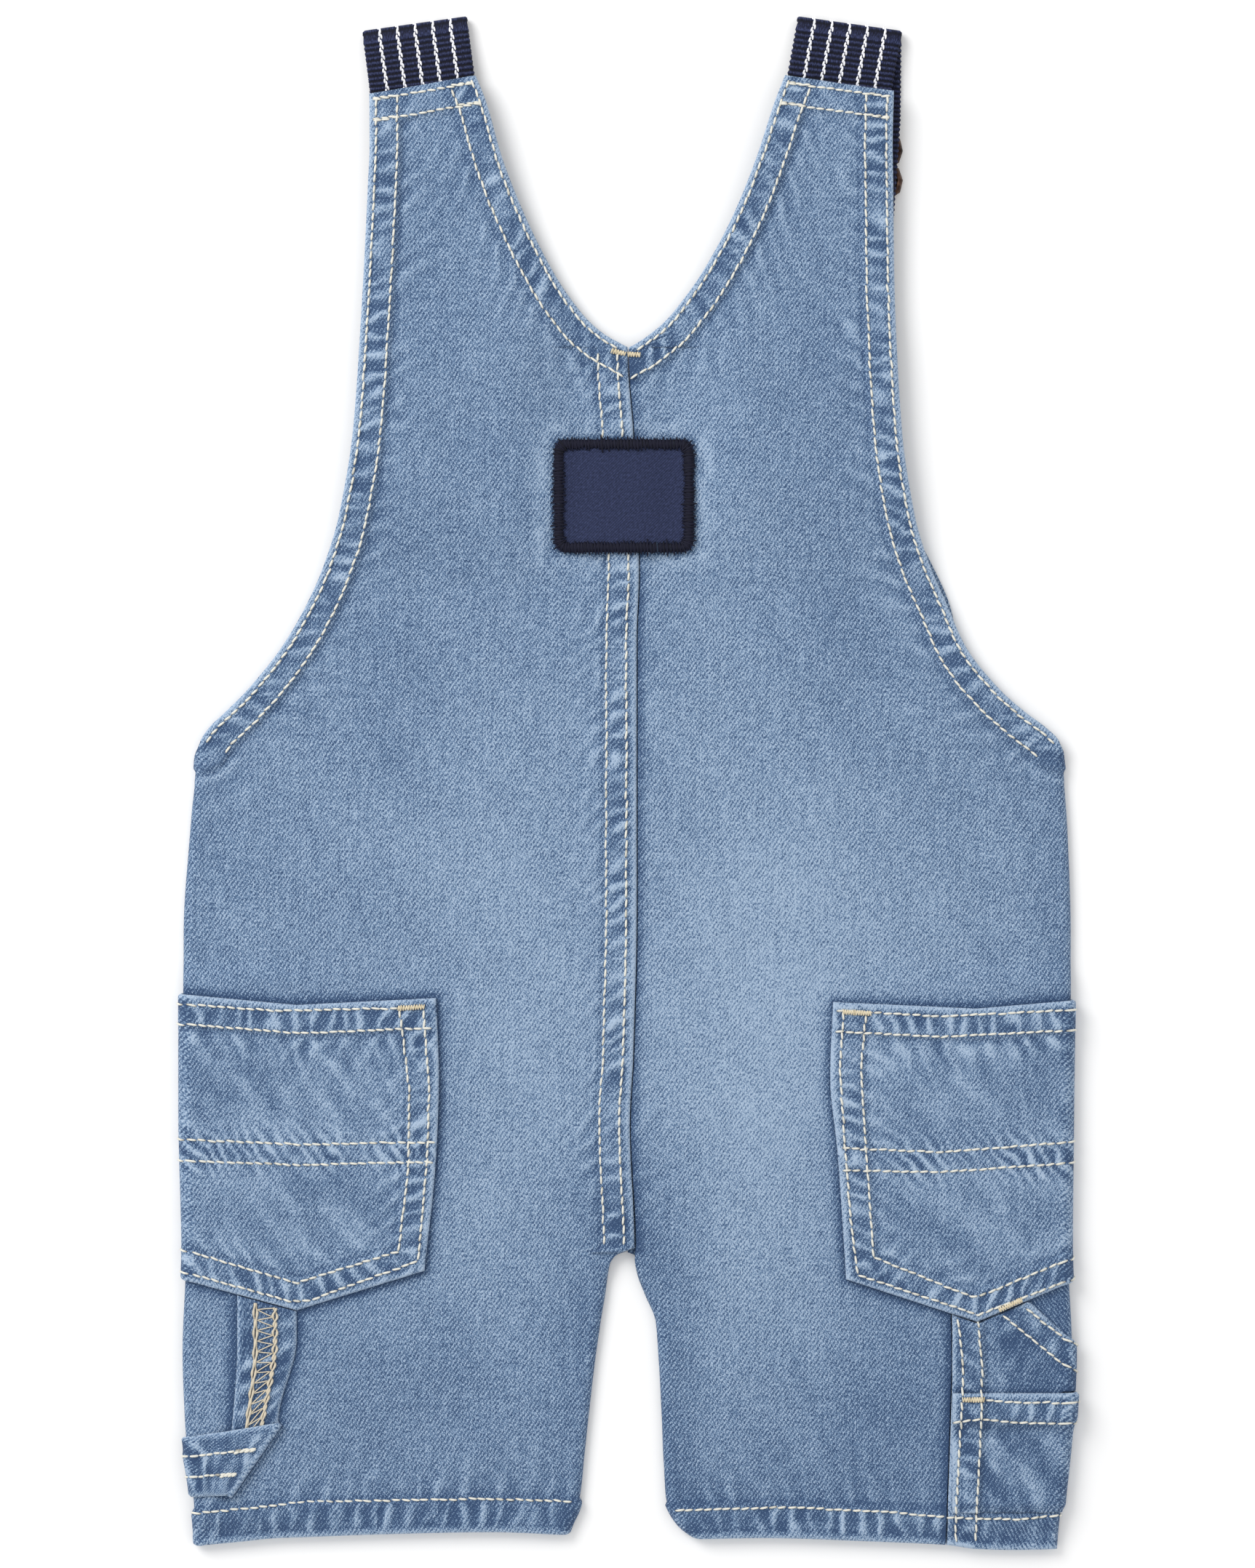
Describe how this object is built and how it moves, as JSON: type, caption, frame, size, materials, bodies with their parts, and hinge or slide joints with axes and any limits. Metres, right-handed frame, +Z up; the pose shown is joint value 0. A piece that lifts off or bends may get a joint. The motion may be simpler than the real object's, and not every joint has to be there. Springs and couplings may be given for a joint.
{
  "type": "denim short overalls",
  "caption": "Denim short overalls with webbing straps, back pockets and a hammer loop, laid flat with the back up.",
  "frame": {"origin": "centre of the garment's outline, on the surface that it lies on", "axes": "+Y from the leg hems to the shoulders, +X to the viewer's right looking down on the back, +Z up from the surface"},
  "size_m": [0.2723, 0.4642, 0.0092],
  "materials": {
    "denim": "light stonewashed cotton twill",
    "webbing": "ribbed navy webbing with white stripes",
    "patch_cloth": "plain woven navy cloth with an overlocked edge",
    "bronze_metal": "antique bronze plated steel wire"
  },
  "bodies": {
    "root": {"back_left": "denim", "back_pocket_left": "denim", "back_pocket_right": "denim", "back_right": "denim", "bib": "denim", "buckle_left": "bronze_metal", "buckle_right": "bronze_metal", "button_left": "bronze_metal", "button_right": "bronze_metal", "front_left": "denim", "front_right": "denim", "hammer_loop": "denim", "label_patch": "patch_cloth", "slider_left": "bronze_metal", "slider_right": "bronze_metal", "strap_left": "webbing", "strap_right": "webbing", "tool_pocket_lower": "denim", "tool_pocket_upper": "denim"}
  },
  "joints": []
}
